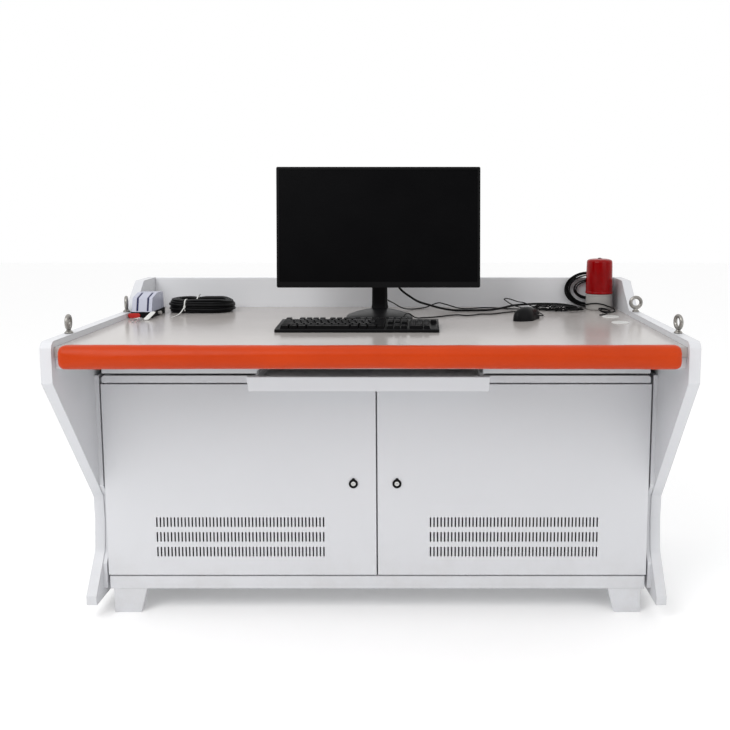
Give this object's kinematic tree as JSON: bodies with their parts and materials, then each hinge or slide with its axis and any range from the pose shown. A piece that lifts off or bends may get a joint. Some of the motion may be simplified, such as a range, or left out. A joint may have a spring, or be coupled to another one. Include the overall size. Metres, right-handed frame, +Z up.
{
  "type": "control desk",
  "caption": "Sheet-metal control desk with padded armrest, vented double-door cabinet, drawer, screen, keyboard, mouse, warning beacon and lifting eyes.",
  "frame": {"origin": "on the floor under the middle of the desk, halfway between the armrest's front and the desk's rear face", "axes": "+X to the operator's right, +Y from the operator's side to the rear, +Z up"},
  "size_m": [1.6067, 0.88, 1.2557],
  "materials": {
    "white_paint": "fine semi-gloss powder coat",
    "worktop_paint": "satin powder coat, warm light grey",
    "zinc": "galvanised, satin",
    "bright_steel": "polished",
    "armrest_pad": "orange-red, smooth, slightly glossy skin over foam",
    "black_plastic": "fine grain, matt",
    "black_gloss": "glossy",
    "screen_panel": "dark screen, slightly glossy",
    "key_plastic": "matt, slightly worn",
    "pale_plastic": "off-white, matt",
    "grey_plastic": "grey, matt",
    "beacon_red": "clear red, glossy",
    "mirror_plastic": "bright reflector",
    "case_black": "textured black",
    "core_steel": "varnished laminations",
    "cord_rubber": "black sheath",
    "tag_mix": "red tag, white tag and steel keys"
  },
  "bodies": {
    "desk": {"left_side_shell": "white_paint", "right_side_shell": "white_paint", "side_liners": "white_paint", "worktop": "worktop_paint", "rear_upstand": "white_paint", "armrest": "armrest_pad", "armrest_rail": "zinc", "underframe": "white_paint", "drawer_fascia": "white_paint", "cabinet_shell": "white_paint", "front_frame": "white_paint", "plinth": "white_paint", "feet": "white_paint", "side_spacers": "zinc", "rear_cover": "white_paint", "door_pivots": "zinc", "drawer_hangers": "zinc", "lifting_eyes": "bright_steel", "hole_covers": "pale_plastic", "cable_bushing": "black_plastic", "mounting_plate": "zinc", "rail_devices": "pale_plastic", "computer_case": "case_black", "isolating_transformer": "core_steel", "screen_stand": "black_gloss", "keyboard_case": "black_plastic", "mouse_body": "black_plastic", "beacon_foot": "grey_plastic", "beacon_dome": "beacon_red", "signal_box": "pale_plastic", "signal_box_base": "black_plastic", "cabinet_keys": "tag_mix", "screen_cable": "cord_rubber", "screen_lead": "cord_rubber", "keyboard_cord": "cord_rubber", "mouse_cord": "cord_rubber", "cord_hank": "cord_rubber", "beacon_coil": "cord_rubber", "beacon_lead": "cord_rubber", "spare_cable": "cord_rubber"},
    "left_door": {"left_door": "white_paint", "left_lock": "black_plastic"},
    "right_door": {"right_door": "white_paint", "right_lock": "black_plastic"},
    "left_cam": {"left_lock_cam": "bright_steel"},
    "right_cam": {"right_lock_cam": "bright_steel"},
    "slides": {"slide_middles": "zinc"},
    "drawer": {"drawer_tray": "white_paint"},
    "screen": {"screen_housing": "black_plastic", "screen_glass": "screen_panel", "tilt_bracket": "black_plastic"},
    "letters": {"letter_keys": "key_plastic"},
    "functions": {"function_keys": "key_plastic"},
    "navigation": {"navigation_keys": "key_plastic"},
    "numbers": {"number_keys": "key_plastic"},
    "space": {"space_bar": "key_plastic"},
    "mouse_left": {"mouse_left_button": "black_gloss"},
    "mouse_right": {"mouse_right_button": "black_gloss"},
    "wheel": {"mouse_wheel": "cord_rubber"},
    "reflector": {"beacon_reflector": "mirror_plastic"}
  },
  "joints": [
    {"name": "left_door_hinge", "type": "hinge", "parent": "desk", "child": "left_door", "pos_m": [-0.743, -0.142, 0.383], "axis": [0, 0, -1], "range_deg": [0, 90]},
    {"name": "right_door_hinge", "type": "hinge", "parent": "desk", "child": "right_door", "pos_m": [0.743, -0.142, 0.383], "axis": [0, 0, 1], "range_deg": [0, 90]},
    {"name": "left_lock_turn", "type": "hinge", "parent": "left_door", "child": "left_cam", "pos_m": [-0.065, -0.13, 0.375], "axis": [0, -1, 0], "range_deg": [0, 90]},
    {"name": "right_lock_turn", "type": "hinge", "parent": "right_door", "child": "right_cam", "pos_m": [0.056, -0.13, 0.375], "axis": [0, 1, 0], "range_deg": [0, 90]},
    {"name": "drawer_slide", "type": "slide", "parent": "desk", "child": "drawer", "axis": [0, -1, 0], "range_m": [-0.103, 0.235]},
    {"name": "drawer_slide_middle", "type": "slide", "parent": "desk", "child": "slides", "axis": [0, -1, 0], "range_m": [-0.052, 0.118]},
    {"name": "screen_tilt", "type": "hinge", "parent": "desk", "child": "screen", "pos_m": [-0.004, 0.164, 1.0715], "axis": [-1, 0, 0], "range_deg": [-7, 15]},
    {"name": "letter_keys_press", "type": "slide", "parent": "desk", "child": "letters", "axis": [0, 0.0615, -0.9981], "range_m": [0, 0.0025], "stiffness_N_per_m": 6000, "springref_m": -0.0005},
    {"name": "function_keys_press", "type": "slide", "parent": "desk", "child": "functions", "axis": [0, 0.0615, -0.9981], "range_m": [0, 0.0025], "stiffness_N_per_m": 1500, "springref_m": -0.0005},
    {"name": "navigation_keys_press", "type": "slide", "parent": "desk", "child": "navigation", "axis": [0, 0.0615, -0.9981], "range_m": [0, 0.0025], "stiffness_N_per_m": 1500, "springref_m": -0.0005},
    {"name": "number_keys_press", "type": "slide", "parent": "desk", "child": "numbers", "axis": [0, 0.0615, -0.9981], "range_m": [0, 0.0025], "stiffness_N_per_m": 2000, "springref_m": -0.0005},
    {"name": "space_bar_press", "type": "slide", "parent": "desk", "child": "space", "axis": [0, 0.0615, -0.9981], "range_m": [0, 0.0025], "stiffness_N_per_m": 600, "springref_m": -0.0005},
    {"name": "mouse_left_click", "type": "hinge", "parent": "desk", "child": "mouse_left", "pos_m": [0.44817, 0.10262, 0.83549], "axis": [-0.682, 0.7314, 0], "range_deg": [0, 1.5], "stiffness_Nm_per_rad": 1.2, "springref_deg": -1.15},
    {"name": "mouse_right_click", "type": "hinge", "parent": "desk", "child": "mouse_right", "pos_m": [0.44817, 0.10262, 0.83549], "axis": [-0.682, 0.7314, 0], "range_deg": [0, 1.5], "stiffness_Nm_per_rad": 1.2, "springref_deg": -1.15},
    {"name": "mouse_wheel_turn", "type": "hinge", "parent": "desk", "child": "wheel", "pos_m": [0.46282, 0.11628, 0.82452], "axis": [0.682, -0.7314, 0], "continuous": true},
    {"name": "beacon_turn", "type": "hinge", "parent": "desk", "child": "reflector", "pos_m": [0.709, 0.347, 0.87], "axis": [0, 0, 1], "continuous": true}
  ],
  "couplings": [
    {"joint": "drawer_slide_middle", "follows": "drawer_slide", "ratio": 0.5}
  ]
}
